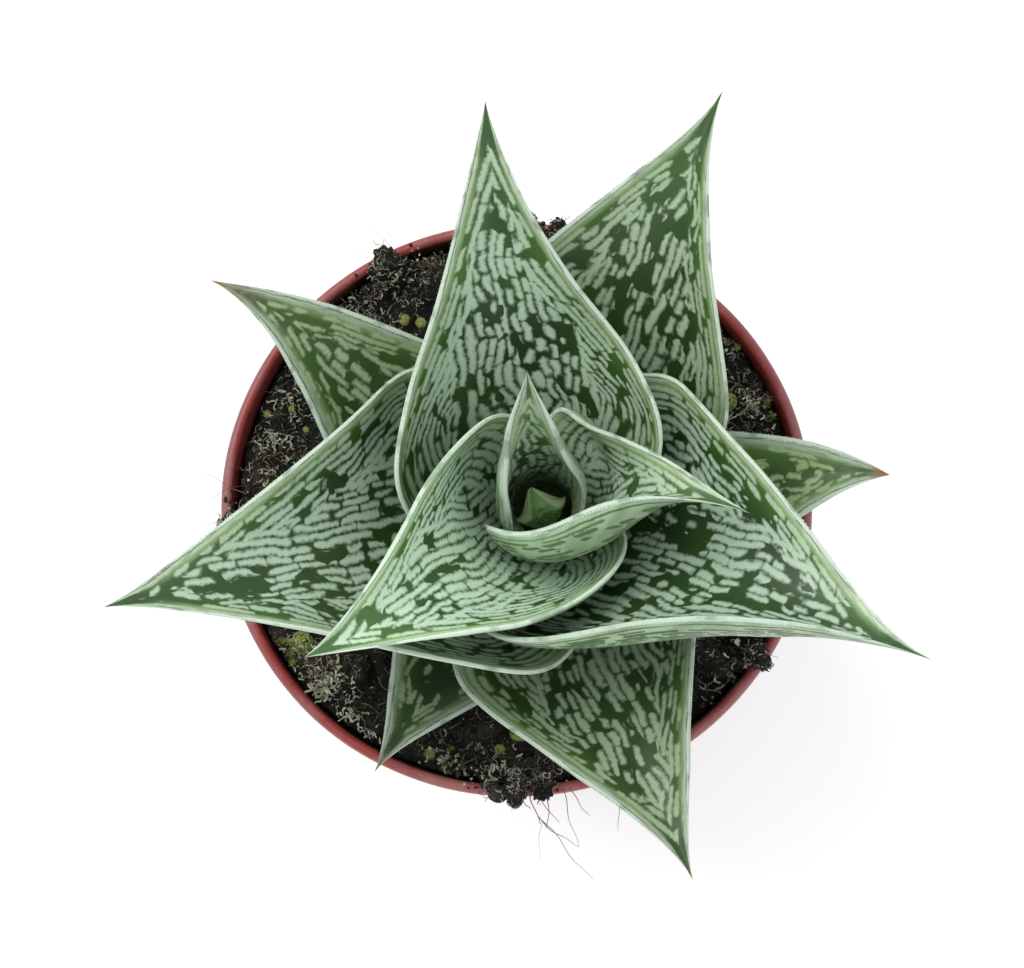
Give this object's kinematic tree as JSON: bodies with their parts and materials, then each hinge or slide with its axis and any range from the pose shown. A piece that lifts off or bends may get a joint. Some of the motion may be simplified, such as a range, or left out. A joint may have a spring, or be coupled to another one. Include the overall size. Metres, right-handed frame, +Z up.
{
  "type": "potted tribal aloe",
  "caption": "Rosette of keeled, boat-shaped succulent leaves with pale broken stripes and toothed edges, on a short stem in peat in a round nursery pot",
  "frame": {"origin": "centre of the flat underside of the pot", "axes": "+Z up along the pot's axis; +X to the right and +Y to the top of the reference picture, which looks down into the rosette"},
  "size_m": [0.1374, 0.1341, 0.158],
  "materials": {
    "pot_plastic": "thin brick-red nursery-pot plastic, satin, with a paler worn rim",
    "peat": "dark, rough, crumbly peat",
    "stem_skin": "dull pale green stem with leaf scars",
    "young_leaf_skin": "waxy green flesh with pale mint dashes and cream edges",
    "leaf_skin": "waxy dark green flesh with pale mint dashes and cream edges",
    "old_leaf_skin": "waxy yellower green flesh with pale dashes and an orange-brown dried tip"
  },
  "bodies": {
    "root": {"pot": "pot_plastic", "soil": "peat", "stem": "stem_skin", "leaf_01": "young_leaf_skin", "leaf_02": "young_leaf_skin", "leaf_03": "young_leaf_skin", "leaf_04": "leaf_skin", "leaf_05": "leaf_skin", "leaf_06": "leaf_skin", "leaf_07": "leaf_skin", "leaf_08": "leaf_skin", "leaf_09": "leaf_skin", "leaf_10": "old_leaf_skin", "leaf_11": "old_leaf_skin", "leaf_12": "old_leaf_skin"}
  },
  "joints": []
}
